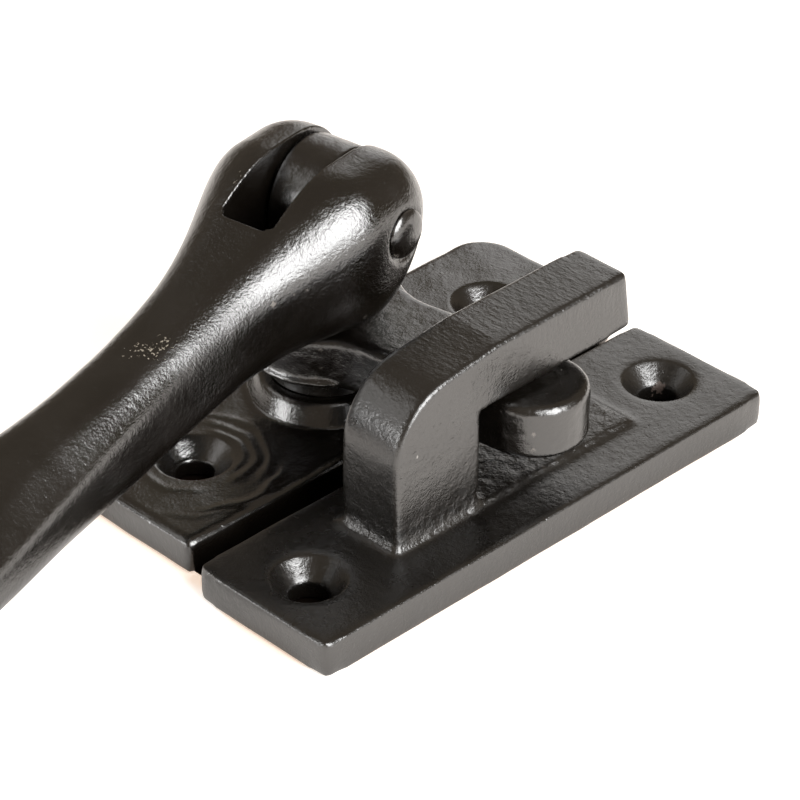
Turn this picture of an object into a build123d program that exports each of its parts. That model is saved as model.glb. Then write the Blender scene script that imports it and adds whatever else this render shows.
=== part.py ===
"""Lever latch with a forked handle and a hook keep, modelled in millimetres.

The origin is midway between the back plate's screw holes, on the mounting plane. X runs along the two
plates, Y runs from the keep towards the back plate, and Z stands off the door. The pieces are built as
they lie with the tongue home under the hook.
"""
import os
from math import cos, radians, sin

from build123d import *

# Back plate
back_length = 64.4
back_width = 22.6
back_thickness = 4.0
back_near_corner = 0.8
back_far_corner = 4.6
back_edge_roll = 1.1
back_screw_pitch = 43.0

# Screw holes of both plates
screw_hole_diameter = 3.9
screw_head_diameter = 8.1
screw_head_angle = 90

# Pivot boss on the back plate, and its thrust washer
pivot_x = -2.5
boss_foot_diameter = 17.3
boss_top_diameter = 14.8
boss_height = 2.6
boss_foot_radius = 0.5
boss_rim_round = 0.5
thrust_washer_diameter = 12.6
thrust_washer_thickness = 2.0

# Pivot rivet and the washer that its tail is spread on
rivet_diameter = 7.0
rivet_depth_in_swivel = 4.5
rivet_tail_diameter = 9.6
rivet_tail_height = 1.0
tail_washer_diameter = 11.0
tail_washer_thickness = 1.0
tail_recess_depth = 2.6

# Swivel: round flange with a bead round its foot, tongue and upright lug
swivel_angle = 9.0
flange_diameter = 17.1
flange_bead_diameter = 17.9
flange_bead_radius = 0.45
flange_bead_rise = 0.85
tongue_width = 11.6
tongue_reach = 32.2
tongue_thickness = 6.4
tongue_edge_round = 1.1
tongue_root_radius = 7.0
lug_width = 12.8
lug_thickness = 5.6
lug_edge_round = 0.4
lug_root_radius = 0.7
pin_height = 26.3
crown_lift = 0.6

# Hinge pin
pin_diameter = 4.0
pin_head_diameter = 5.4
pin_head_height = 1.4
pin_head_round = 1.0
pin_seat_depth = 0.4

# Fork of the handle, measured from the middle of its crown
fork_width = 21.3
fork_radius = 6.8
fork_belly = 11.3
fork_root = 4.0
fork_face_round = 6.2
slot_depth = 13.3
slot_corner = 1.0

# Lever of the handle: distance back from the crown, drop of its middle, width, height and corner radius
shoulder_distance = 10.0
shoulder_drop = 3.0
shoulder_width = 18.0
shoulder_height = 16.4
throat_distance = 18.0
throat_drop = 5.3
throat_width = 12.4
throat_height = 13.2
throat_corner = 4.6
neck_distance = 27.0
neck_drop = 7.8
neck_width = 9.9
neck_height = 11.9
waist_distance = 38.0
waist_drop = 9.9
waist_width = 9.8
waist_height = 11.6
grip_distance = 58.0
grip_drop = 11.6
grip_width = 14.6
grip_height = 9.5
palm_distance = 80.0
palm_drop = 12.0
palm_width = 16.4
palm_height = 8.2
tip_distance = 94.0
tip_drop = 11.4
tip_width = 13.4
tip_height = 7.0
end_distance = 98.0
end_width = 7.6
end_height = 3.8
end_corner = 1.7
lever_corner = 3.6
tip_corner = 2.9

# Keep plate
keep_length = 64.0
keep_width = 18.8
keep_thickness = 4.1
keep_corner = 0.8
keep_edge_round = 0.4
keep_screw_pitch = 50.8
keep_x = -2.2
keep_distance = 23.9

# Hook on the keep plate and the raised pad that it stands on
pad_height = 0.7
pad_margin = 0.4
pad_edge_round = 0.6
hook_length = 34.0
hook_thickness = 8.1
hook_end_thickness = 7.4
hook_offset = 0.6
hook_shift = 0.2
hook_top = 22.9
hook_arm_depth = 7.0
hook_arm_rise = 0.4
hook_post_width = 12.0
hook_shoulder_drop = 2.3
hook_shoulder_length = 14.4
hook_shoulder_radius = 40.0
hook_crest_drop = 0.3
hook_bend_radius = 8.0
hook_inner_radius = 1.4
hook_end_lean = 0.9
hook_end_round = 1.2
hook_edge_round = 0.65

# Clearances
turning_gap = 0.1
running_fit = 0.05
recess_clearance = 0.3
slot_clearance = 0.4
seat_clearance = 0.3

# Heights and places that follow from the sizes above
boss_top = back_thickness + boss_height
flange_bottom = boss_top + thrust_washer_thickness + turning_gap
flange_top = flange_bottom + tongue_thickness
tail_washer_bottom = tail_recess_depth - turning_gap - tail_washer_thickness
nose_centre = tongue_reach - tongue_width / 2
crown_height = pin_height + crown_lift
lug_length = crown_height - flange_top + tongue_thickness / 2
slot_width = lug_thickness + 2 * slot_clearance
pin_half_length = fork_width / 2 - pin_seat_depth
keep_top = keep_thickness + pad_height
turn = radians(swivel_angle)
along_tongue = Vector(sin(turn), -cos(turn), 0)
across_tongue = Vector(cos(turn), sin(turn), 0)
pin_centre = Vector(pivot_x, 0, pin_height)
crown_centre = Vector(pivot_x, 0, crown_height)
pin_plane = Plane(pin_centre, x_dir=across_tongue, z_dir=along_tongue)
crown_plane = Plane(crown_centre, x_dir=across_tongue, z_dir=along_tongue)
hook_level = Plane((keep_x + hook_shift, hook_offset - keep_distance, 0))
hook_plane = Plane(hook_level.origin, x_dir=(1, 0, 0), z_dir=(0, -1, 0))
base_align = (Align.CENTER, Align.CENTER, Align.MIN)


def pivot_level(height):
    """Level plane on the pivot, with its X along the tongue and its Y away from the handle."""
    return Plane((pivot_x, 0, height), x_dir=along_tongue, z_dir=(0, 0, 1))


def keep_level(height):
    """Level plane over the middle of the keep plate."""
    return Plane((keep_x, -keep_distance, height))


def disc(height, diameter, thickness, mode=Mode.ADD):
    """Round disc or hole on the pivot axis, from a height upwards."""
    with Locations((pivot_x, 0, height)):
        Cylinder(diameter / 2, thickness, align=base_align, mode=mode)


def screw_holes(plate_top, pitch):
    """Two countersunk screw holes along the plate, sunk from its top."""
    with Locations(plate_top):
        with GridLocations(pitch, 0, 2, 1):
            CounterSinkHole(
                screw_hole_diameter / 2,
                screw_head_diameter / 2,
                counter_sink_angle=screw_head_angle,
            )


def lever_plane(distance, drop):
    """Upright plane square to the lever, with its X along the hinge pin."""
    place = crown_centre - across_tongue * distance - Vector(0, 0, drop)
    return Plane(place, x_dir=along_tongue, z_dir=-across_tongue)


os.makedirs("parts", exist_ok=True)

# Back plate, with squarer corners at the handle's end, rolled edges and a tapered pivot boss
with BuildPart() as back_plate:
    with BuildSketch() as outline:
        Rectangle(back_length, back_width)
        fillet(outline.vertices().group_by(Axis.X)[0], back_near_corner)
        fillet(outline.vertices().group_by(Axis.X)[-1], back_far_corner)
    extrude(amount=back_thickness)
    fillet(back_plate.faces().sort_by(Axis.Z)[-1].edges(), back_edge_roll)
    with Locations((pivot_x, 0, back_thickness)):
        Cone(boss_foot_diameter / 2, boss_top_diameter / 2, boss_height, align=base_align)
    foot_edge = back_plate.edges().filter_by(GeomType.CIRCLE).sort_by(SortBy.RADIUS)[-1]
    fillet(foot_edge, boss_foot_radius)
    fillet(back_plate.faces().sort_by(Axis.Z)[-1].edges(), boss_rim_round)
    screw_holes(Plane.XY.offset(back_thickness), back_screw_pitch)
    disc(0, rivet_diameter + 2 * running_fit, boss_top, Mode.SUBTRACT)
    disc(0, tail_washer_diameter + 2 * recess_clearance, tail_recess_depth, Mode.SUBTRACT)
back_plate.part.label = "back_plate"
export_step(back_plate.part, "parts/back_plate.step")

# Thrust washer that lies on the boss and carries the swivel
with BuildPart() as thrust_washer:
    disc(boss_top, thrust_washer_diameter, thrust_washer_thickness)
    disc(boss_top, rivet_diameter + 2 * running_fit, thrust_washer_thickness, Mode.SUBTRACT)
thrust_washer.part.label = "thrust_washer"
export_step(thrust_washer.part, "parts/thrust_washer.step")

# Lug that stands up between the fork's cheeks, rooted in the thickness of the tongue
with BuildPart() as lug:
    with BuildSketch(crown_plane):
        Circle(lug_width / 2)
        with Locations((0, -lug_length / 2)):
            Rectangle(lug_width, lug_length)
    extrude(amount=lug_thickness / 2, both=True)
    fillet(lug.faces().filter_by(Axis((0, 0, 0), along_tongue)).edges(), lug_edge_round)

# Swivel: a beaded flange whose sides sweep into a round-nosed tongue, and the lug for the handle
with BuildPart() as swivel:
    with BuildSketch(pivot_level(flange_bottom)) as plan:
        Circle(flange_diameter / 2)
        with Locations((nose_centre / 2, 0)):
            Rectangle(nose_centre, tongue_width)
        fillet(plan.vertices().group_by(Axis.X)[0], tongue_root_radius)
        with Locations((nose_centre, 0)):
            Circle(tongue_width / 2)
    extrude(amount=tongue_thickness)
    fillet(swivel.faces().filter_by(Axis.Z).edges(), tongue_edge_round)
    with Locations((pivot_x, 0, flange_bottom + flange_bead_rise)):
        Torus(flange_bead_diameter / 2 - flange_bead_radius, flange_bead_radius)
    add(lug.part)
    fillet(swivel.edges(Select.NEW), lug_root_radius)
    with BuildSketch(pin_plane):
        Circle(pin_diameter / 2 + running_fit)
    extrude(amount=lug_thickness, both=True, mode=Mode.SUBTRACT)
    disc(flange_bottom, rivet_diameter, rivet_depth_in_swivel, Mode.SUBTRACT)
swivel.part.label = "swivel"
export_step(swivel.part, "parts/swivel.step")

# Pivot rivet, pressed up into the swivel, with its tail spread on the washer behind the boss
with BuildPart() as pivot_rivet:
    disc(tail_washer_bottom, rivet_diameter, flange_bottom + rivet_depth_in_swivel - tail_washer_bottom)
    disc(tail_washer_bottom - rivet_tail_height, rivet_tail_diameter, rivet_tail_height)
    fillet(pivot_rivet.faces().sort_by(Axis.Z)[0].edges(), rivet_tail_height / 2)
pivot_rivet.part.label = "pivot_rivet"
export_step(pivot_rivet.part, "parts/pivot_rivet.step")

# Washer under the rivet's tail
with BuildPart() as tail_washer:
    disc(tail_washer_bottom, tail_washer_diameter, tail_washer_thickness)
    disc(tail_washer_bottom, rivet_diameter, tail_washer_thickness, Mode.SUBTRACT)
tail_washer.part.label = "tail_washer"
export_step(tail_washer.part, "parts/tail_washer.step")

# Handle: a fork with ball-like cheeks that narrows into a neck and swells into a flat grip
with BuildPart() as handle:
    with BuildSketch(crown_plane):
        with BuildLine():
            Line((-fork_root, -fork_belly), (-fork_root, fork_radius))
            Line((-fork_root, fork_radius), (0, fork_radius))
            CenterArc((0, 0), fork_radius, 0, 90)
            Bezier(
                (fork_radius, 0),
                (fork_radius, -0.44 * fork_belly),
                (0.3 * fork_radius, -fork_belly),
                (-fork_root, -fork_belly),
            )
        make_face()
    extrude(amount=fork_width / 2, both=True)
    cheeks = handle.faces().filter_by(Axis((0, 0, 0), along_tongue))
    fillet(cheeks.edges().filter_by(Axis.Z, reverse=True), fork_face_round)
    for distance, drop, width, height, corner in (
        (fork_root, (fork_belly - fork_radius) / 2, fork_width, fork_belly + fork_radius, fork_face_round),
        (shoulder_distance, shoulder_drop, shoulder_width, shoulder_height, fork_face_round),
        (throat_distance, throat_drop, throat_width, throat_height, throat_corner),
        (neck_distance, neck_drop, neck_width, neck_height, lever_corner),
        (waist_distance, waist_drop, waist_width, waist_height, lever_corner),
        (grip_distance, grip_drop, grip_width, grip_height, lever_corner),
        (palm_distance, palm_drop, palm_width, palm_height, lever_corner),
        (tip_distance, tip_drop, tip_width, tip_height, tip_corner),
        (end_distance, tip_drop, end_width, end_height, end_corner),
    ):
        with BuildSketch(lever_plane(distance, drop)):
            RectangleRounded(width, height, corner)
    loft()
    with BuildSketch(pivot_level(crown_height)):
        with Locations((0, fork_radius)):
            RectangleRounded(slot_width, 2 * (slot_depth + fork_radius), slot_corner)
    extrude(amount=2 * fork_belly, both=True, mode=Mode.SUBTRACT)
    with BuildSketch(pin_plane):
        Circle(pin_diameter / 2)
    extrude(amount=fork_width, both=True, mode=Mode.SUBTRACT)
    for side in (-1, 1):
        with BuildSketch(pin_plane.offset(side * pin_half_length)):
            Circle(pin_head_diameter / 2 + seat_clearance)
        extrude(amount=side * 2 * pin_seat_depth, mode=Mode.SUBTRACT)
handle.part.label = "handle"
export_step(handle.part, "parts/handle.step")

# Hinge pin, tight in the fork and free in the lug, with a round-edged button head in each cheek
with BuildPart() as hinge_pin:
    with BuildSketch(pin_plane):
        Circle(pin_diameter / 2)
    extrude(amount=pin_half_length, both=True)
    for side in (-1, 1):
        with BuildSketch(pin_plane.offset(side * pin_half_length)):
            Circle(pin_head_diameter / 2)
        extrude(amount=side * pin_head_height)
    ends = hinge_pin.faces().sort_by(Axis(pin_centre, along_tongue))
    fillet(ends[0].edges() + ends[-1].edges(), pin_head_round)
hinge_pin.part.label = "hinge_pin"
export_step(hinge_pin.part, "parts/hinge_pin.step")

# Square hook that the tongue swings under, narrower at its end and rooted in the thickness of the keep
post_side = -hook_length / 2
arm_end = hook_length / 2
with BuildPart() as hook:
    with BuildSketch(hook_plane) as profile:
        with BuildLine():
            Polyline(
                (post_side, keep_thickness / 2),
                (post_side, hook_top - hook_shoulder_drop),
                (post_side + hook_shoulder_length, hook_top - hook_crest_drop),
                (arm_end - hook_end_lean, hook_top),
                (arm_end, hook_top - hook_arm_depth),
                (post_side + hook_post_width, hook_top - hook_arm_depth - hook_arm_rise),
                (post_side + hook_post_width, keep_thickness / 2),
                close=True,
            )
        make_face()
        corners = profile.vertices().sort_by(Axis.X)
        bend, throat, shoulder = (corners[0:2], corners[2:4], corners[4:5])
        fillet(bend.sort_by(Axis.Y)[-1], hook_bend_radius)
        fillet(throat.sort_by(Axis.Y)[-1], hook_inner_radius)
        fillet(shoulder, hook_shoulder_radius)
        fillet(corners[5:7], hook_end_round)
    extrude(amount=hook_thickness / 2, both=True)
    with BuildSketch(hook_level):
        with BuildLine():
            Polyline(
                (post_side, -hook_thickness / 2),
                (arm_end, -hook_thickness / 2),
                (arm_end, hook_end_thickness - hook_thickness / 2),
                (post_side, hook_thickness / 2),
                close=True,
            )
        make_face()
    extrude(amount=2 * hook_top, mode=Mode.INTERSECT)
    sides = hook.faces().sort_by(Axis.Y)
    fillet(sides[0].edges() + sides[-1].edges(), hook_edge_round)

# Hook plate: a flat keep with a low pad, from which the hook stands up
with BuildPart() as hook_plate:
    with BuildSketch(keep_level(0)):
        RectangleRounded(keep_length, keep_width, keep_corner)
    extrude(amount=keep_thickness)
    fillet(hook_plate.faces().sort_by(Axis.Z)[-1].edges(), keep_edge_round)
    screw_holes(keep_level(keep_thickness), keep_screw_pitch)
    with BuildSketch(hook_level):
        Rectangle(hook_length + 2 * pad_margin, hook_thickness + 2 * pad_margin)
    extrude(amount=keep_top)
    fillet(hook_plate.faces().sort_by(Axis.Z)[-1].edges(), pad_edge_round)
    add(hook.part)
hook_plate.part.label = "hook_plate"
export_step(hook_plate.part, "parts/hook_plate.step")
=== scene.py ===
# %% [markdown]
# # A lever latch in black cast iron
# The latch has two plates: a back plate that carries a turning tongue with a folding lever, and a keep
# plate with a hook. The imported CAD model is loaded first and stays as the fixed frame, so the pieces made
# here always sit where the solids are and move with their bodies.

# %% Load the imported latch
from math import atan2, cos, degrees, exp, radians, sin

import bmesh
import bpy
from mathutils import Matrix, Vector, noise


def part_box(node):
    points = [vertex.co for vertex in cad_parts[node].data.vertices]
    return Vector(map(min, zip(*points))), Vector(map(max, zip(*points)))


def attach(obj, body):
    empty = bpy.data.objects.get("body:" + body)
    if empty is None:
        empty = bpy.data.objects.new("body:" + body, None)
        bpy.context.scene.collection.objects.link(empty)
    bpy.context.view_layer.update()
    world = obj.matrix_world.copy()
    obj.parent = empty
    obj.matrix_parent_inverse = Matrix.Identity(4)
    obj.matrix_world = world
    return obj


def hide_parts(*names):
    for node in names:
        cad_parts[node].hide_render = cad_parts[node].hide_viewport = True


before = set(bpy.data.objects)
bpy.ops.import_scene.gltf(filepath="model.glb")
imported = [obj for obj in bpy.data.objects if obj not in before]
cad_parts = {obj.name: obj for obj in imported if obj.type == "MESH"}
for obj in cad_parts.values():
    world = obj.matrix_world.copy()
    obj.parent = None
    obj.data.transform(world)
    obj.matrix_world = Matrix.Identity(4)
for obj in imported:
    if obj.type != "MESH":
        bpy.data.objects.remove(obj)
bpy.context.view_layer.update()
scene = bpy.context.scene

# %% [markdown]
# ## Camera
# The picture was taken from above the lever's side, close to the front, with a long lens. The camera is
# placed at the eye point that was worked out from the plates' edges and holes. It could be framed by eye,
# but a measured eye point lets the render be compared with the picture piece by piece.

# %% Camera at the picture's viewpoint


def add_object(name, data):
    """Makes an object of the given data and puts it into the scene."""
    thing = bpy.data.objects.new(name, data)
    scene.collection.objects.link(thing)
    return thing


def aim(thing, direction):
    """Turns a camera or a lamp so that it looks along a direction."""
    thing.rotation_euler = direction.to_track_quat("-Z", "Y").to_euler()


eye_point = Vector((-0.2203, -0.2347, 0.2141))
look_along = Vector((0.5815, 0.5974, -0.5524))
camera_data = bpy.data.cameras.new("picture_camera")
camera_data.lens = 162.25
camera_data.sensor_width = 36.0
camera_data.clip_start = 0.01
camera = add_object("picture_camera", camera_data)
camera.location = eye_point
aim(camera, look_along)
scene.camera = camera
print("Camera", tuple(eye_point), "lens", camera_data.lens, "mm")

# %% [markdown]
# ## Light
# The shine on the paint tells where the lamps stood: a tall soft box to the right of the camera, a smaller
# one far round on the left, and pale cards behind. The room itself stays a dim warm grey, which is why the
# paint looks black and not grey. One lamp alone would leave the hook's faces without form.

# %% Soft lamps and a dim room
scene.view_settings.view_transform = "Standard"


def soft_lamp(name, azimuth, elevation, distance, width, height, watts):
    """Adds an area lamp that faces the latch from the given azimuth and elevation in degrees."""
    lamp_data = bpy.data.lights.new(name, "AREA")
    lamp_data.shape = "RECTANGLE"
    lamp_data.size = width
    lamp_data.size_y = height
    lamp_data.energy = watts
    lift = radians(elevation)
    turn = radians(azimuth)
    towards = Vector((cos(lift) * cos(turn), cos(lift) * sin(turn), sin(lift)))
    lamp = add_object(name, lamp_data)
    lamp.location = towards * distance
    aim(lamp, -towards)
    return lamp


lamps = [
    soft_lamp("key_lamp", azimuth=-91.0, elevation=30.0, distance=0.75, width=0.48, height=0.60, watts=11.4),
    soft_lamp("far_card", azimuth=33.0, elevation=22.0, distance=0.80, width=0.32, height=0.56, watts=0.72),
    soft_lamp("back_card", azimuth=130.0, elevation=36.0, distance=0.80, width=0.40, height=0.36, watts=0.60),
    soft_lamp("left_lamp", azimuth=158.0, elevation=10.0, distance=0.80, width=0.32, height=0.30, watts=2.8),
]
room = bpy.data.worlds.new("dim_room")
room.use_nodes = True
room_light = room.node_tree.nodes["Background"].inputs
room_light["Color"].default_value = (0.248, 0.206, 0.160, 1.0)
room_light["Strength"].default_value = 1.0
scene.world = room
print("Lamps", [lamp.name for lamp in lamps], "in", room.name)

# %% [markdown]
# ## Node helpers
# The floor and all the finishes below are built from the same few nodes. Each small helper adds one of them
# and links or sets its inputs, so that the recipes stay readable. The nodes could be added one by one where
# they are used, but a recipe would then be several times as long.

# %% Helpers for shader nodes


def feed(tree, socket, value):
    """Sets a socket to a number or a colour, or links it to another node's output."""
    if isinstance(value, (int, float, tuple)):
        socket.default_value = value
    else:
        tree.links.new(value, socket)


def math_node(tree, operation, first, second=None, third=None):
    """Adds a math node with up to three inputs."""
    node = tree.nodes.new("ShaderNodeMath")
    node.operation = operation
    for socket, value in zip(node.inputs, (first, second, third)):
        if value is not None:
            feed(tree, socket, value)
    return node.outputs[0]


def noise_node(tree, place, scale, detail=2.0, rough=0.5):
    """Adds a noise texture on the given place and returns its value."""
    node = tree.nodes.new("ShaderNodeTexNoise")
    tree.links.new(place, node.inputs["Vector"])
    feed(tree, node.inputs["Scale"], scale)
    node.inputs["Detail"].default_value = detail
    node.inputs["Roughness"].default_value = rough
    return node.outputs["Fac"]


def soft_step(tree, value, low, high):
    """Maps a value from low..high smoothly to 0..1."""
    node = tree.nodes.new("ShaderNodeMapRange")
    node.interpolation_type = "SMOOTHSTEP"
    tree.links.new(value, node.inputs["Value"])
    feed(tree, node.inputs["From Min"], low)
    feed(tree, node.inputs["From Max"], high)
    return node.outputs["Result"]


def blend(tree, kind, mask, under, over):
    """Goes from the under colour or value to the over one by the mask."""
    node = tree.nodes.new("ShaderNodeMix")
    node.data_type = kind
    under_socket, over_socket, result = (6, 7, 2) if kind == "RGBA" else (2, 3, 0)
    tree.links.new(mask, node.inputs["Factor"])
    feed(tree, node.inputs[under_socket], under)
    feed(tree, node.inputs[over_socket], over)
    return node.outputs[result]


def object_place(tree):
    """Gives the place on the piece, in its own coordinates."""
    return tree.nodes.new("ShaderNodeTexCoord").outputs["Object"]


def axis_parts(tree, vector):
    """Splits a vector into its X, Y and Z."""
    node = tree.nodes.new("ShaderNodeSeparateXYZ")
    tree.links.new(vector, node.inputs[0])
    return node.outputs


print("Node helpers ready")

# %% [markdown]
# ## Floor
# The latch lies on a white sweep that almost burns out in the picture. Close to the metal the floor's glow
# turns faint and warm, a painted contact shadow. A lit white plane alone would go grey, so camera rays and
# mirror-like rays also see a glow in it, which keeps a light shadow. Close to the plates and under the lever
# the mirrored glow is weaker, a painted shade that stands for theirs. It stops under the plates and in the
# gap between them, where no light gets in and the screw holes would shine, and there the paper is painted
# dark as painted shade.

# %% Pale floor under the latch
floor_half = 1.5
floor_drop = 0.0002
floor_mesh = bpy.data.meshes.new("studio_floor")
bm = bmesh.new()
bmesh.ops.create_grid(bm, x_segments=1, y_segments=1, size=floor_half)
bmesh.ops.translate(bm, verts=bm.verts, vec=(0.0, 0.0, -floor_drop))
bm.to_mesh(floor_mesh)
bm.free()
floor = add_object("studio_floor", floor_mesh)

white_sweep = bpy.data.materials.new("white_sweep")
white_sweep.use_nodes = True
sweep = white_sweep.node_tree
sweep.nodes.clear()
floor_mesh.materials.append(white_sweep)
print("Floor", floor.name)

# %% Distance on the floor from the plates and from the lever's shade
outline_inset = Vector((0.001, 0.001, 0.0))
outline_corner = 0.006
lever_shade_middle = (-0.064, -0.0135)
lever_shade_half = (0.025, 0.0065)


def outline_distance(centre, half):
    """Distance on the floor from an outline with round corners, and 0 inside it."""
    squares = []
    for axis in (0, 1):
        offset = math_node(sweep, "SUBTRACT", floor_place[axis], centre[axis])
        aside = math_node(sweep, "ABSOLUTE", offset)
        beyond = math_node(sweep, "SUBTRACT", aside, half[axis] - outline_corner)
        squares.append(math_node(sweep, "POWER", math_node(sweep, "MAXIMUM", beyond, 0.0), 2.0))
    reach = math_node(sweep, "SQRT", math_node(sweep, "ADD", squares[0], squares[1]))
    return math_node(sweep, "MAXIMUM", math_node(sweep, "SUBTRACT", reach, outline_corner), 0.0)


floor_place = axis_parts(sweep, object_place(sweep))
outlines = [tuple(Vector(corner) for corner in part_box(node)) for node in ("back_plate", "hook_plate")]
(back_low, back_high), (keep_low, keep_high) = outlines
between_low = Vector((max(back_low.x, keep_low.x), keep_low.y, 0.0))
between_high = Vector((min(back_high.x, keep_high.x), back_high.y, 0.0))
outlines.append((between_low, between_high))
gaps = [outline_distance((low + high) / 2, (high - low) / 2 - outline_inset) for low, high in outlines]
plate_gap = math_node(sweep, "MINIMUM", math_node(sweep, "MINIMUM", gaps[0], gaps[1]), gaps[2])
lever_gap = outline_distance(lever_shade_middle, lever_shade_half)
print("Floor knows both plates' outlines, the gap between them and the lever's shade")

# %% Glow of the floor, with a painted contact shadow and paper painted dark as shade
camera_glow = 0.80
outside_from = 0.00001
# Painted contact shadow: close to the plates the floor's glow turns warm and dim.
contact_shadow_start = 0.0009
contact_shadow_end = 0.0024
contact_shadow_tone = (0.86, 0.66, 0.52, 1.0)
glow_tone = (1.0, 0.93, 0.87, 1.0)
# Painted shade: the paper under the plates and in the gap between them is dark.
painted_shade_paper = (0.006, 0.004, 0.003, 1.0)
white_paper = (0.80, 0.78, 0.76, 1.0)


def shade(gap, reach, least, rise):
    """Share of the glow: the least at no gap, and more by the rise from the given reach on."""
    return math_node(sweep, "MULTIPLY_ADD", soft_step(sweep, gap, 0.0, reach), rise, least)


plate_shade = shade(plate_gap, reach=0.0085, least=0.3, rise=0.55)
lever_shade = shade(lever_gap, reach=0.006, least=0.05, rise=0.95)
rays = sweep.nodes.new("ShaderNodeLightPath").outputs
mirrored = math_node(sweep, "MAXIMUM", rays["Is Glossy Ray"], rays["Is Transmission Ray"])
mirrored = math_node(sweep, "MULTIPLY", mirrored, math_node(sweep, "MULTIPLY", plate_shade, lever_shade))
seen = math_node(sweep, "MAXIMUM", math_node(sweep, "MULTIPLY", rays["Is Camera Ray"], camera_glow), mirrored)
outside = math_node(sweep, "GREATER_THAN", plate_gap, outside_from)
# Mask of the painted contact shadow: 0 at the plates and 1 past its end.
past_contact_shadow = soft_step(sweep, plate_gap, contact_shadow_start, contact_shadow_end)
glow = sweep.nodes.new("ShaderNodeEmission")
sweep.links.new(blend(sweep, "RGBA", past_contact_shadow, contact_shadow_tone, glow_tone), glow.inputs["Color"])
sweep.links.new(math_node(sweep, "MULTIPLY", seen, outside), glow.inputs["Strength"])
matte = sweep.nodes.new("ShaderNodeBsdfDiffuse")
# Painted shade: dark paper under the plates and in the gap between them.
sweep.links.new(blend(sweep, "RGBA", outside, painted_shade_paper, white_paper), matte.inputs["Color"])
both = sweep.nodes.new("ShaderNodeAddShader")
sweep.links.new(matte.outputs[0], both.inputs[0])
sweep.links.new(glow.outputs[0], both.inputs[1])
sweep.links.new(both.outputs[0], sweep.nodes.new("ShaderNodeOutputMaterial").inputs["Surface"])
print("Floor finish", white_sweep.name)

# %% [markdown]
# ## Cast copies of the iron pieces
# The plates, the tongue and the lever are iron cast in sand. Their corners are soft and their faces are
# never quite flat. A copy of each solid is merged, covered with an even skin by a voxel remesh and
# relaxed a little, so that there are enough points to press shallow waves into it afterwards. The tongue and
# the lever lie 9 degrees askew, so they are turned square to the voxels first: a slanting edge would come
# out in steps. Bevels alone would leave the faces perfectly flat, which gives a drawn part away.

# %% A helper that copies a solid as a casting
merge_gap = 2e-6


def cast_copy(node, body, voxel, softening, askew=0.0):
    """Copies a CAD node as an evenly meshed, slightly relaxed casting that stands for it."""
    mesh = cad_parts[node].data.copy()
    bm = bmesh.new()
    bm.from_mesh(mesh)
    bmesh.ops.remove_doubles(bm, verts=bm.verts, dist=merge_gap)
    bmesh.ops.rotate(bm, verts=bm.verts, matrix=Matrix.Rotation(-radians(askew), 3, "Z"))
    bm.to_mesh(mesh)
    bm.free()
    piece = add_object(node + "_casting", mesh)
    skin = piece.modifiers.new("even_skin", "REMESH")
    skin.mode = "VOXEL"
    skin.voxel_size = voxel
    relax = piece.modifiers.new("soft_corners", "SMOOTH")
    relax.factor = 0.5
    relax.iterations = softening
    cast = bpy.data.meshes.new_from_object(piece.evaluated_get(bpy.context.evaluated_depsgraph_get()))
    cast.transform(Matrix.Rotation(radians(askew), 4, "Z"))
    cast.materials.clear()
    cast.shade_smooth()
    piece.modifiers.clear()
    piece.data = cast
    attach(piece, body)
    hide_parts(node)
    print(piece.name, len(cast.polygons), "faces")
    return piece


print("Castings merge points closer than", merge_gap, "m")

# %% The four castings
lever_askew = 9.0
back_casting = cast_copy("back_plate", "plates", voxel=0.00025, softening=8)
keep_casting = cast_copy("hook_plate", "plates", voxel=0.00025, softening=9)
swivel_casting = cast_copy("swivel", "swivel", voxel=0.00021, softening=8, askew=lever_askew)
lever_casting = cast_copy("handle", "handle", voxel=0.000265, softening=3, askew=lever_askew)

# %% [markdown]
# ## Uneven faces
# Liquid iron leaves long shallow waves where the sand mould gave way. Each point is moved a few hundredths
# of a millimetre inwards along its normal by a noise that depends only on where it is. Moving inwards only
# keeps every casting inside its solid, so nothing new can rub. The tongue is pitted as well, so it gets a
# second, smaller wave. A Displace modifier could do the same, but not with a depth that also asks which way
# a face looks, as the later pieces need.

# %% Helpers that press shallow waves into a casting
wave_smoothness = 0.9
wave_spacing = 2.0
wave_octaves = 2


def press(piece, depth_at):
    """Moves each point of a casting inwards along its normal by the depth found for its place."""
    bm = bmesh.new()
    bm.from_mesh(piece.data)
    bm.normal_update()
    depths = [depth_at(vert.co, vert.normal) for vert in bm.verts]
    for vert, depth in zip(bm.verts, depths):
        vert.co -= vert.normal * depth
    bm.to_mesh(piece.data)
    bm.free()
    print(piece.name, "pressed by up to", round(max(depths) * 1000, 3), "mm")


def clamp(value):
    """Keeps a value between 0 and 1."""
    return min(max(value, 0.0), 1.0)


def waves(place, size):
    """Shallow waves from 0 to 1 of about the given size."""
    return clamp(0.5 + 0.5 * noise.fractal(place / size, wave_smoothness, wave_spacing, wave_octaves))


print("Waves have", wave_octaves, "octaves")

# %% Waves and pits in the tongue
tongue_wave_depth = 0.00006
tongue_wave_size = 0.005
tongue_pit_depth = 0.00007
tongue_pit_size = 0.0013


def pitted(place, normal):
    """Depth of the tongue's waves and of its pits."""
    wave = tongue_wave_depth * waves(place, tongue_wave_size)
    return wave + tongue_pit_depth * waves(place, tongue_pit_size)


press(swivel_casting, pitted)

# %% [markdown]
# ## The lever's worn front edge
# Along the lever's neck, the upper edge towards the front has been rubbed wide and soft, and the broad shine
# on the lever lies there. The edge is pressed in, most where it looks halfway between up and front, and
# then smoothed many times over. A larger corner in the loft would round all four edges alike.

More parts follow.
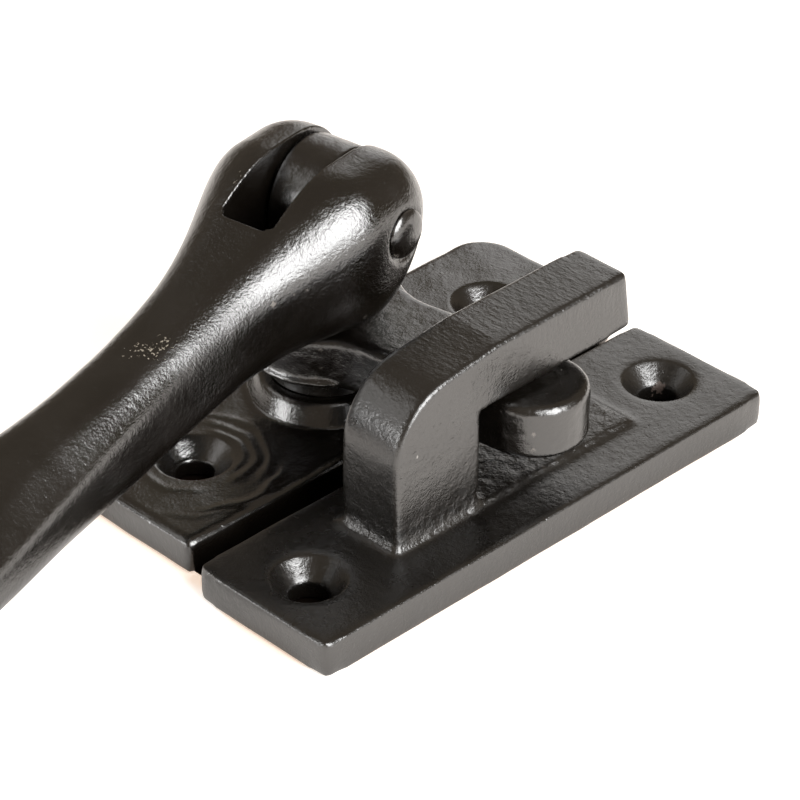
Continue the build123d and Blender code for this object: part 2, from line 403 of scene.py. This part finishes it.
# %% Press the lever's front edge in
lever_front = Vector((sin(radians(lever_askew)), -cos(radians(lever_askew)), 0.0))
lever_back = Vector((-cos(radians(lever_askew)), -sin(radians(lever_askew)), 0.0))
lever_root = Vector((-0.0025, 0.0, 0.0))
lever_wave_depth = 0.00010
lever_wave_size = 0.008
wear_depth = 0.00095
wear_start = 0.026
wear_fade = 0.020


def worn_front(place, normal):
    """Depth of the lever's waves, and of the wear on its upper edge towards the front."""
    far = clamp(((place - lever_root).dot(lever_back) - wear_start) / wear_fade)
    edge = 2.0 * max(normal.z, 0.0) * max(normal.dot(lever_front), 0.0)
    return lever_wave_depth * waves(place, lever_wave_size) + wear_depth * far * edge


press(lever_casting, worn_front)

# %% A helper that rubs a place round, and the lever's front edge
edge_start = 0.022
front_of_middle = 0.0004
middle_height = 0.0210
middle_fall = 0.107


def rub(piece, chosen, turns, upright=True):
    """Smooths the points of a casting that are chosen by their place, sideways only if not upright."""
    bm = bmesh.new()
    bm.from_mesh(piece.data)
    verts = [vert for vert in bm.verts if chosen(vert.co)]
    for turn in range(turns):
        bmesh.ops.smooth_vert(
            bm, verts=verts, factor=0.5, use_axis_x=True, use_axis_y=True, use_axis_z=upright
        )
    bm.to_mesh(piece.data)
    bm.free()
    print(piece.name, "rubbed at", len(verts), "points")


def at_front_edge(place):
    """Whether a place is on the neck's upper half, in front of its middle line."""
    back = (place - lever_root).dot(lever_back)
    front = (place - lever_root).dot(lever_front)
    return back > edge_start and front > front_of_middle and place.z > middle_height - middle_fall * back


rub(lever_casting, at_front_edge, turns=40)

# %% [markdown]
# ## The keep's rubbed and sandy places
# The free end of the hook and the plate's corners are rubbed round. The foot of the post and the low pad in
# front have no clean edge either: there the mould crumbled and left lumps. The points of these places are
# smoothed many times over, and the foot then gets small lumps. A larger fillet would be as round, but
# as even as turned work.

# %% Rub the hook's end, the corners and the foot round
keep_top = 0.0042
arm_level = 0.012
rubbed_end = 0.0035
rubbed_corner = 0.0028
foot_below = 0.0002
foot_above = 0.0022
keep_middle = (keep_low + keep_high) / 2
keep_half = (keep_high - keep_low) / 2
hook_end = max(vert.co.x for vert in keep_casting.data.vertices if vert.co.z > arm_level)


def at_hook_end(place):
    """Whether a place is on the free end of the hook's arm."""
    return place.z > arm_level and place.x > hook_end - rubbed_end


def at_corner(place):
    """Whether a place is at an upright corner of the plate."""
    aside = abs(place.x - keep_middle.x) + abs(place.y - keep_middle.y)
    return aside > keep_half.x + keep_half.y - rubbed_corner


def at_foot(place):
    """Whether a place is at the height of the pad and the post's foot."""
    return keep_top - foot_below < place.z < keep_top + foot_above


rub(keep_casting, at_hook_end, turns=16)
rub(keep_casting, at_corner, turns=30, upright=False)
rub(keep_casting, at_foot, turns=12)

# %% Lumps round the post's foot
keep_wave_depth = 0.00010
keep_wave_size = 0.006
lump_depth = 0.00014
lump_size = 0.0011
lump_rise = 0.0003
lump_end = 0.0085
lump_fade = 0.003


def lumpy(place, normal):
    """Depth of the keep's waves, and of the hollows between lumps round the post's foot."""
    low = clamp((place.z - keep_top) / lump_rise) * clamp((lump_end - place.z) / lump_fade)
    return keep_wave_depth * waves(place, keep_wave_size) + lump_depth * low * waves(place, lump_size)


press(keep_casting, lumpy)

# %% [markdown]
# ## The hammered back plate
# The back plate is the roughest casting. Round the screw hole by the lever its top has sunk a little and
# kept ripples and crests, where the sand gave way round the core of the hole. Each crest is an arc round the
# hole, given by its radius, where it starts and ends in degrees, its width and how far it still reaches up. A
# noise lets the arcs wander. A noise alone would give dents without the rings, and sculpting could not be
# rerun.

# %% Height of the crests in the back plate's top
near_hole = Vector((-0.0215, 0.0, 0.004))
crests = (
    (0.0049, -62.0, 18.0, 0.00042, 0.8),
    (0.0063, -80.0, 28.0, 0.00055, 0.9),
    (0.0081, -58.0, -4.0, 0.00060, 1.0),
    (0.0078, 2.0, 48.0, 0.00055, 0.8),
    (0.0096, -116.0, -66.0, 0.00050, 0.9),
    (0.0060, -182.0, -138.0, 0.00050, 0.7),
    (0.0106, -140.0, -126.0, 0.00060, 0.6),
)
crest_wander = 0.0005
crest_wander_size = 0.0025
crest_end_fade = 14.0


def crest_height(place):
    """How far the crests fill the sunk top at a place, from 0 to 1."""
    offset = place - near_hole
    reach = offset.xy.length + crest_wander * noise.noise(place / crest_wander_size)
    heading = degrees(atan2(offset.y, offset.x))
    height = 0.0
    for radius, start, end, width, share in crests:
        aside = abs((heading - (start + end) / 2 + 180.0) % 360.0 - 180.0)
        beyond = max(aside - (end - start) / 2, 0.0)
        across = (reach - radius) / width
        height = max(height, share * exp(-(across**2) - (beyond / crest_end_fade) ** 2))
    return height


print("Crests", len(crests))

# %% Press the waves and the sunk top into the back plate
back_wave_depth = 0.00016
back_wave_size = 0.005
sunk_depth = 0.00018
sunk_reach = 0.016
sunk_fade = 0.007
up_start = 0.5
up_gain = 4.0


def hammered(place, normal):
    """Depth of the waves, and of the sunk top between its crests on faces that look up round the hole."""
    depth = back_wave_depth * waves(place, back_wave_size)
    reach = (place - near_hole).length
    faded = clamp((sunk_reach - reach) / sunk_fade) * clamp((normal.z - up_start) * up_gain)
    if faded > 0.0:
        depth += sunk_depth * faded * (1.0 - crest_height(place))
    return depth


press(back_casting, hammered)

# %% [markdown]
# ## Soft boss
# The boss round the pivot is as soft as a pebble, with no edge left on its rim. The points of its rim are
# smoothed many times over, which rounds it further inwards. A larger fillet would do for the rim alone, but
# the boss would still look turned.

# %% Rub the boss round
rim_inner = 0.0060
rim_outer = 0.0092
rim_level = 0.0046


def at_boss_rim(place):
    """Whether a place is on the rim of the boss."""
    return rim_inner < (place - lever_root).xy.length < rim_outer and place.z > rim_level


rub(back_casting, at_boss_rim, turns=14)

# %% [markdown]
# ## Hinge pin
# The pin is a steel rod with both ends hammered over in the fork's cheeks, so its heads are low buttons. A
# few points in millimetres, each with its radius and its place along the axis, give half of its outline. The
# outline is spun round the axis and then laid in the fork. The pin could be turned from a cylinder with
# bevelled ends, but a hammered head has no straight rim.

# %% Spin the pin and lay it in the fork
pin_middle = Vector((-0.0025, 0.0, 0.0263))
head_outline = (
    (0.0, 11.12), (0.6, 11.11), (1.2, 11.05), (1.75, 10.93), (2.2, 10.76), (2.5, 10.56), (2.65, 10.38),
    (2.66, 10.26), (1.98, 10.26),
)
outline = head_outline + tuple((radius, -along) for radius, along in reversed(head_outline))
pin_merge_gap = 1e-6
bm = bmesh.new()
points = [bm.verts.new((radius / 1000, 0.0, along / 1000)) for radius, along in outline]
edges = [bm.edges.new(pair) for pair in zip(points, points[1:])]
bmesh.ops.spin(
    bm, geom=points + edges, cent=(0, 0, 0), axis=(0, 0, 1), angle=radians(360), steps=64, use_merge=True
)
bmesh.ops.remove_doubles(bm, verts=bm.verts, dist=pin_merge_gap)
bmesh.ops.recalc_face_normals(bm, faces=bm.faces)
bmesh.ops.rotate(bm, verts=bm.verts, matrix=lever_front.to_track_quat("Z", "Y").to_matrix())
bmesh.ops.translate(bm, verts=bm.verts, vec=pin_middle)
pin_mesh = bpy.data.meshes.new("hammered_pin")
bm.to_mesh(pin_mesh)
bm.free()
pin_mesh.shade_smooth()
hammered_pin = add_object("hammered_pin", pin_mesh)
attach(hammered_pin, "handle")
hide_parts("hinge_pin")
print(hammered_pin.name, len(pin_mesh.polygons), "faces")

# %% Dents in the pin
dent_depth = 0.00006
dent_size = 0.0016


def dented(place, normal):
    """Depth of the hammer's dents."""
    return dent_depth * waves(place, dent_size)


press(hammered_pin, dented)

# %% [markdown]
# ## Cast skin
# Under the paint the iron keeps the print of the sand: a fine grain, a broader orange peel and a few pits.
# All castings share it, so it is a node group that puts out one height and one slow mottle. Each material
# places it with its own sizes. The grain could be pressed into the mesh as the waves are, but it is finer
# than the mesh.

# %% Helpers for node groups and cells


def new_group(name, inputs, outputs):
    """Starts a shader node group with named inputs and float outputs."""
    group = bpy.data.node_groups.new(name, "ShaderNodeTree")
    for label, value in inputs:
        kind = "NodeSocketVector" if isinstance(value, tuple) else "NodeSocketFloat"
        socket = group.interface.new_socket(label, in_out="INPUT", socket_type=kind)
        socket.default_value = value
    for label in outputs:
        group.interface.new_socket(label, in_out="OUTPUT", socket_type="NodeSocketFloat")
    return group, group.nodes.new("NodeGroupInput").outputs, group.nodes.new("NodeGroupOutput").inputs


def cells_node(tree, place, scale):
    """Adds a cell texture and returns its distance and three chances per cell."""
    cells = tree.nodes.new("ShaderNodeTexVoronoi")
    tree.links.new(place, cells.inputs["Vector"])
    feed(tree, cells.inputs["Scale"], scale)
    chance = tree.nodes.new("ShaderNodeSeparateColor")
    tree.links.new(cells.outputs["Color"], chance.inputs["Color"])
    return cells.outputs["Distance"], chance.outputs


print("Group helpers ready")

# %% Node group for the sand-cast skin
pit_scale = 1100.0
pit_width = 0.16
pit_slope = (-0.05, 0.06)
mottle_span = (0.3, 0.7)
grain_share = 0.55
peel_share = 0.8
pit_share = 0.25
skin_group, skin_in, skin_out = new_group(
    "sand_cast_skin",
    [("Grain Scale", 2600.0), ("Peel Scale", 850.0), ("Mottle Scale", 140.0)],
    ["Height", "Mottle"],
)
place = object_place(skin_group)
grain = noise_node(skin_group, place, skin_in["Grain Scale"], detail=3.0, rough=0.6)
peel = noise_node(skin_group, place, skin_in["Peel Scale"])
mottle = noise_node(skin_group, place, skin_in["Mottle Scale"], detail=4.0, rough=0.6)
apart, chance = cells_node(skin_group, place, pit_scale)
pit_edge = math_node(skin_group, "MULTIPLY", chance["Red"], pit_width)
pit = soft_step(skin_group, math_node(skin_group, "SUBTRACT", apart, pit_edge), *pit_slope)
relief = math_node(skin_group, "MULTIPLY", peel, peel_share)
relief = math_node(skin_group, "MULTIPLY_ADD", grain, grain_share, relief)
relief = math_node(skin_group, "MULTIPLY_ADD", pit, pit_share, relief)
skin_group.links.new(relief, skin_out["Height"])
skin_group.links.new(soft_step(skin_group, mottle, *mottle_span), skin_out["Mottle"])
print("Group", skin_group.name)

# %% [markdown]
# ## Worn edges, partly a painted highlight
# Paint is thin on corners and rubs through there first, and sharp edges catch the light: the lighter
# edges are partly worn paint and partly a painted highlight. The group reads how pointed the surface is
# and breaks the result up with noise, so that the edges come in short runs and not as an even outline.
# They could be painted on by hand, but they would not follow the piece when its shape changes.

# %% Node group for worn edges and painted edge highlights
run_span = (0.44, 0.62)
# Pointed places get the lighter edge: partly worn paint, partly a painted highlight.
edge_wear_highlight_group, edge_wear_highlight_in, edge_wear_highlight_out = new_group(
    "worn_and_highlit_edges", [("Start", 0.53), ("Full", 0.60), ("Breakup Scale", 600.0)], ["Mask"]
)
pointed = edge_wear_highlight_group.nodes.new("ShaderNodeNewGeometry").outputs["Pointiness"]
edge = soft_step(edge_wear_highlight_group, pointed, edge_wear_highlight_in["Start"], edge_wear_highlight_in["Full"])
breakup = noise_node(edge_wear_highlight_group, object_place(edge_wear_highlight_group), edge_wear_highlight_in["Breakup Scale"], detail=4.0, rough=0.65)
runs = soft_step(edge_wear_highlight_group, breakup, *run_span)
edge_wear_highlight_group.links.new(math_node(edge_wear_highlight_group, "MULTIPLY", edge, runs), edge_wear_highlight_out["Mask"])
print("Group", edge_wear_highlight_group.name)

# %% [markdown]
# ## Dust
# Pale specks lie on the paint, mostly on faces that look up. A cell texture drops at most one speck in each
# cell and leaves most cells empty. Specks of real geometry would look the same at this size and cost far
# more.

# %% Node group for dust specks
speck_least = 0.013
speck_spread = 0.020
upward_span = (-0.3, 0.7)
dust_group, dust_in, dust_out = new_group("dust_specks", [("Cell Scale", 420.0), ("Share", 0.16)], ["Mask"])
apart, chance = cells_node(dust_group, object_place(dust_group), dust_in["Cell Scale"])
chosen = math_node(dust_group, "LESS_THAN", chance["Red"], dust_in["Share"])
width = math_node(dust_group, "MULTIPLY_ADD", chance["Green"], speck_spread, speck_least)
speck = math_node(dust_group, "LESS_THAN", apart, width)
facing = axis_parts(dust_group, dust_group.nodes.new("ShaderNodeNewGeometry").outputs["Normal"])
upward = soft_step(dust_group, facing["Z"], *upward_span)
mask = math_node(dust_group, "MULTIPLY", math_node(dust_group, "MULTIPLY", speck, chosen), upward)
dust_group.links.new(mask, dust_out["Mask"])
print("Group", dust_group.name)

# %% [markdown]
# ## Chips
# In a few places the paint is knocked off: on the lever's neck, at the fork's slot and on the hook's face.
# A chip is a ragged patch around a point, so the group needs only that point, a radius, how ragged the rim
# is and how large the flakes are. With a rim far wider than the radius it becomes a spray of small flakes. A
# painted mask would do as well, but it would need a picture and a UV map.

# %% Node group for a ragged chip
noise_middle = 0.5
chip_group, chip_in, chip_out = new_group(
    "paint_chip",
    [("Centre", (0.0, 0.0, 0.0)), ("Radius", 0.001), ("Ragged", 0.002), ("Flake Scale", 1400.0)],
    ["Mask"],
)
place = object_place(chip_group)
apart = chip_group.nodes.new("ShaderNodeVectorMath")
apart.operation = "DISTANCE"
chip_group.links.new(place, apart.inputs[0])
chip_group.links.new(chip_in["Centre"], apart.inputs[1])
flakes = noise_node(chip_group, place, chip_in["Flake Scale"], detail=3.0, rough=0.6)
rim = math_node(chip_group, "SUBTRACT", flakes, noise_middle)
rim = math_node(chip_group, "MULTIPLY", rim, chip_in["Ragged"])
reach = math_node(chip_group, "ADD", apart.outputs["Value"], rim)
chip_group.links.new(math_node(chip_group, "LESS_THAN", reach, chip_in["Radius"]), chip_out["Mask"])
print("Group", chip_group.name)

# %% [markdown]
# ## Black satin paint
# The paint is a brown black with a satin shine. Its colour and shine drift slowly over the surface, edges
# show dark iron, partly as wear and partly as a painted highlight, and dust sits on top. A paint is started
# with its skin, gets its own marks, and is finished by linking colour, roughness and height to the shader.
# One material for all pieces would be shorter, but with its own sizes on each piece the plates look coarser
# than the lever, which hands have smoothed.

# %% Helpers that place a group and start a paint
black_deep = (0.0024, 0.0018, 0.0012, 1.0)
black_brown = (0.0042, 0.0032, 0.0023, 1.0)
# Iron on the edges, lighter partly as wear and partly as a painted highlight.
bare_iron_and_highlight = (0.10, 0.09, 0.08, 1.0)
shine_drift = 0.08


def place_group(tree, group, **values):
    """Places a node group and sets its inputs."""
    node = tree.nodes.new("ShaderNodeGroup")
    node.node_tree = group
    for label, value in values.items():
        node.inputs[label.replace("_", " ")].default_value = value
    return node.outputs


def start_paint(name, grain, peel, shine, edges_worn_and_lit=True):
    """Starts a black paint on cast skin, with lighter edges where the piece is rubbed, partly worn and partly
    a painted highlight.
    """
    material = bpy.data.materials.new(name)
    material.use_nodes = True
    tree = material.node_tree
    skin = place_group(tree, skin_group, Grain_Scale=grain, Peel_Scale=peel)
    colour = blend(tree, "RGBA", skin["Mottle"], black_deep, black_brown)
    if edges_worn_and_lit:
        # Lighter edges: partly worn-through paint, partly a painted highlight where edges catch the light.
        colour = blend(tree, "RGBA", place_group(tree, edge_wear_highlight_group)["Mask"], colour, bare_iron_and_highlight)
    rough = blend(tree, "FLOAT", skin["Mottle"], shine, shine + shine_drift)
    return {"material": material, "tree": tree, "colour": colour, "rough": rough, "height": skin["Height"]}


print("Paint can be started")

# %% Helpers that chip and finish a paint
dust_tone = (0.13, 0.12, 0.105, 1.0)
dust_rough = 0.9
paint_ior = 1.55


def chip_paint(paint, centre, radius, ragged, flake, colour, rough):
    """Knocks a ragged chip of the given colour into a paint."""
    tree = paint["tree"]
    mask = place_group(
        tree, chip_group, Centre=centre, Radius=radius, Ragged=ragged, Flake_Scale=flake
    )["Mask"]
    paint["colour"] = blend(tree, "RGBA", mask, paint["colour"], colour)
    paint["rough"] = blend(tree, "FLOAT", mask, paint["rough"], rough)


def add_bump(tree, shader, height, relief):
    """Turns a height into the shader's normal, with the relief in metres."""
    bump = tree.nodes.new("ShaderNodeBump")
    bump.inputs["Distance"].default_value = relief
    tree.links.new(height, bump.inputs["Height"])
    tree.links.new(bump.outputs["Normal"], shader.inputs["Normal"])


def finish_paint(paint, relief):
    """Lays dust on a paint and links it to its shader, with the relief in metres."""
    tree = paint["tree"]
    shader = tree.nodes["Principled BSDF"]
    dust = place_group(tree, dust_group)["Mask"]
    tree.links.new(blend(tree, "RGBA", dust, paint["colour"], dust_tone), shader.inputs["Base Color"])
    tree.links.new(blend(tree, "FLOAT", dust, paint["rough"], dust_rough), shader.inputs["Roughness"])
    add_bump(tree, shader, paint["height"], relief)
    shader.inputs["IOR"].default_value = paint_ior
    shader.inputs["Specular IOR Level"].default_value = 1.0
    print("Material", paint["material"].name, len(tree.nodes), "nodes")
    return paint["material"]


print("Paint can be chipped and finished")

# %% Paint on the back plate and the tongue
back_paint = start_paint("back_paint", grain=3600.0, peel=1200.0, shine=0.17)
back_casting.data.materials.append(finish_paint(back_paint, relief=0.00006))
swivel_paint = start_paint("swivel_paint", grain=3800.0, peel=1300.0, shine=0.19)
swivel_casting.data.materials.append(finish_paint(swivel_paint, relief=0.00006))

# %% [markdown]
# ## Paint on the keep
# The keep's hook has fine wrinkles across the top of its arm, where the paint crept on the hot iron, and a
# coarse sandy collar round the foot of its post. Both are only more height in the same bump, kept to their
# place by the height above the floor. They could be two more materials, but then a seam would show between
# them. A chip on the hook's face shows grey iron, and one screw hole gets a dark brown painted reflection.

# %% Wrinkles and sandy foot on the keep
wrinkle_scales = (2200.0, 620.0, 700.0)
wrinkle_share = 0.8
arm_span = (0.016, 0.0215)
foot_sand_scale = 1500.0
foot_sand_share = 2.0
foot_span = (0.0042, 0.0047)
post_span = (0.0052, 0.0095)
keep_paint = start_paint("keep_paint", grain=3800.0, peel=1300.0, shine=0.25)
tree = keep_paint["tree"]
place = object_place(tree)
level = axis_parts(tree, place)["Z"]
stretch = tree.nodes.new("ShaderNodeMapping")
stretch.inputs["Scale"].default_value = wrinkle_scales
tree.links.new(place, stretch.inputs["Vector"])
wrinkles = noise_node(tree, stretch.outputs["Vector"], 1.0)
wrinkles = math_node(tree, "MULTIPLY", wrinkles, soft_step(tree, level, *arm_span))
sand = noise_node(tree, place, foot_sand_scale, detail=3.0, rough=0.65)
on_foot = math_node(tree, "SUBTRACT", soft_step(tree, level, *foot_span), soft_step(tree, level, *post_span))
sand = math_node(tree, "MULTIPLY", sand, on_foot)
extra = math_node(tree, "MULTIPLY", wrinkles, wrinkle_share)
extra = math_node(tree, "MULTIPLY_ADD", sand, foot_sand_share, extra)
keep_paint["height"] = math_node(tree, "ADD", keep_paint["height"], extra)
print("Wrinkles and sand in", keep_paint["material"].name)

# %% Chip and painted reflection on the keep
hook_chip = (-0.0161, -0.0273, 0.0145)
# Spot of the painted reflection in the far screw hole.
hole_reflection_spot = (0.0250, -0.0226, 0.0016)
grey_iron = (0.20, 0.19, 0.175, 1.0)
# Tone of that painted reflection: dark brown.
hole_reflection_tone = (0.030, 0.014, 0.007, 1.0)
chip_paint(keep_paint, hook_chip, radius=0.0002, ragged=0.0012, flake=1500.0, colour=grey_iron, rough=0.6)
# Painted reflection: a dark brown patch in the far screw hole.
chip_paint(keep_paint, hole_reflection_spot, radius=0.0006, ragged=0.0036, flake=1500.0, colour=hole_reflection_tone, rough=0.7)
keep_casting.data.materials.append(finish_paint(keep_paint, relief=0.00007))

# %% [markdown]
# ## Paint on the lever
# The shoulder between fork and neck keeps most of the sand's grain, the fork's crown some, and the grip,
# which the grinding wheel has smoothed, none. Where the grain lies is told by the place along the lever; a
# painted mask would need a UV map. On the neck a knock has flaked the paint off in a spray of pale bits, and
# the slot's edge is rubbed bare.

# %% Grain on the lever's shoulder and fork
fork_span = (-0.018, -0.008)
fork_polish = -0.04
shoulder_span = (-0.034, -0.026)
crown_span = (-0.026, -0.017)
crown_loss = -0.62
fork_sand_scale = 3400.0
fork_sand_share = 1.5
lever_paint = start_paint("lever_paint", grain=4000.0, peel=1500.0, shine=0.19)
tree = lever_paint["tree"]
place = object_place(tree)
along = axis_parts(tree, place)["X"]
on_fork = soft_step(tree, along, *fork_span)
lever_paint["rough"] = math_node(tree, "MULTIPLY_ADD", on_fork, fork_polish, lever_paint["rough"])
past_grip = soft_step(tree, along, *shoulder_span)
sandy = math_node(tree, "MULTIPLY_ADD", soft_step(tree, along, *crown_span), crown_loss, past_grip)
sand = noise_node(tree, place, fork_sand_scale, detail=3.0, rough=0.65)
sand = math_node(tree, "MULTIPLY", sand, sandy)
lever_paint["height"] = math_node(tree, "MULTIPLY_ADD", sand, fork_sand_share, lever_paint["height"])
print("Grain in", lever_paint["material"].name)

# %% Flakes on the neck and at the slot
pale_bare = (0.24, 0.21, 0.165, 1.0)
neck_flakes = ((-0.0326, -0.0052, 0.0243), (-0.0315, -0.0064, 0.0243), (-0.0303, -0.0063, 0.0246))
slot_flakes = ((-0.0119, 0.0026, 0.0325), (-0.0128, 0.0022, 0.0321))
for centre in neck_flakes:
    chip_paint(lever_paint, centre, radius=-0.0003, ragged=0.0090, flake=2900.0, colour=pale_bare, rough=0.75)
for centre in slot_flakes:
    chip_paint(lever_paint, centre, radius=-0.0001, ragged=0.0026, flake=3400.0, colour=pale_bare, rough=0.7)
lever_casting.data.materials.append(finish_paint(lever_paint, relief=0.00006))

# %% [markdown]
# ## Pin, washers and rivet
# The hinge pin and the washer under the tongue were painted over with the rest. The washers and the pivot
# rivet are turned pieces, so these CAD nodes stay as they are: a cast copy would only blunt them. The rivet
# and its tail washer lie behind the plate and get a plain steel finish.

# %% Paint on the pin and the washer
pin_paint = start_paint("pin_paint", grain=3000.0, peel=1200.0, shine=0.17)
hammered_pin.data.materials.append(finish_paint(pin_paint, relief=0.00005))
washer_paint = start_paint("washer_paint", grain=3000.0, peel=1200.0, shine=0.24, edges_worn_and_lit=False)
washer_finish = finish_paint(washer_paint, relief=0.00003)

# %% Bare steel
steel_dark = (0.30, 0.29, 0.28, 1.0)
steel_light = (0.42, 0.41, 0.39, 1.0)
steel_shine = 0.32
steel_dull = 0.48
steel_relief = 0.00001
bare_steel = bpy.data.materials.new("bare_steel")
bare_steel.use_nodes = True
tree = bare_steel.node_tree
steel = tree.nodes["Principled BSDF"]
skin = place_group(tree, skin_group, Grain_Scale=5200.0, Peel_Scale=1600.0)
tree.links.new(blend(tree, "RGBA", skin["Mottle"], steel_dark, steel_light), steel.inputs["Base Color"])
tree.links.new(blend(tree, "FLOAT", skin["Mottle"], steel_shine, steel_dull), steel.inputs["Roughness"])
steel.inputs["Metallic"].default_value = 1.0
add_bump(tree, steel, skin["Height"], steel_relief)
print("Material", bare_steel.name, len(tree.nodes), "nodes")

# %% Finishes on the CAD nodes that stay
finishes = {"thrust_washer": washer_finish, "pivot_rivet": bare_steel, "tail_washer": bare_steel}
for node, finish in finishes.items():
    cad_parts[node].data.materials.clear()
    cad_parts[node].data.materials.append(finish)
    print(node, "has", finish.name)
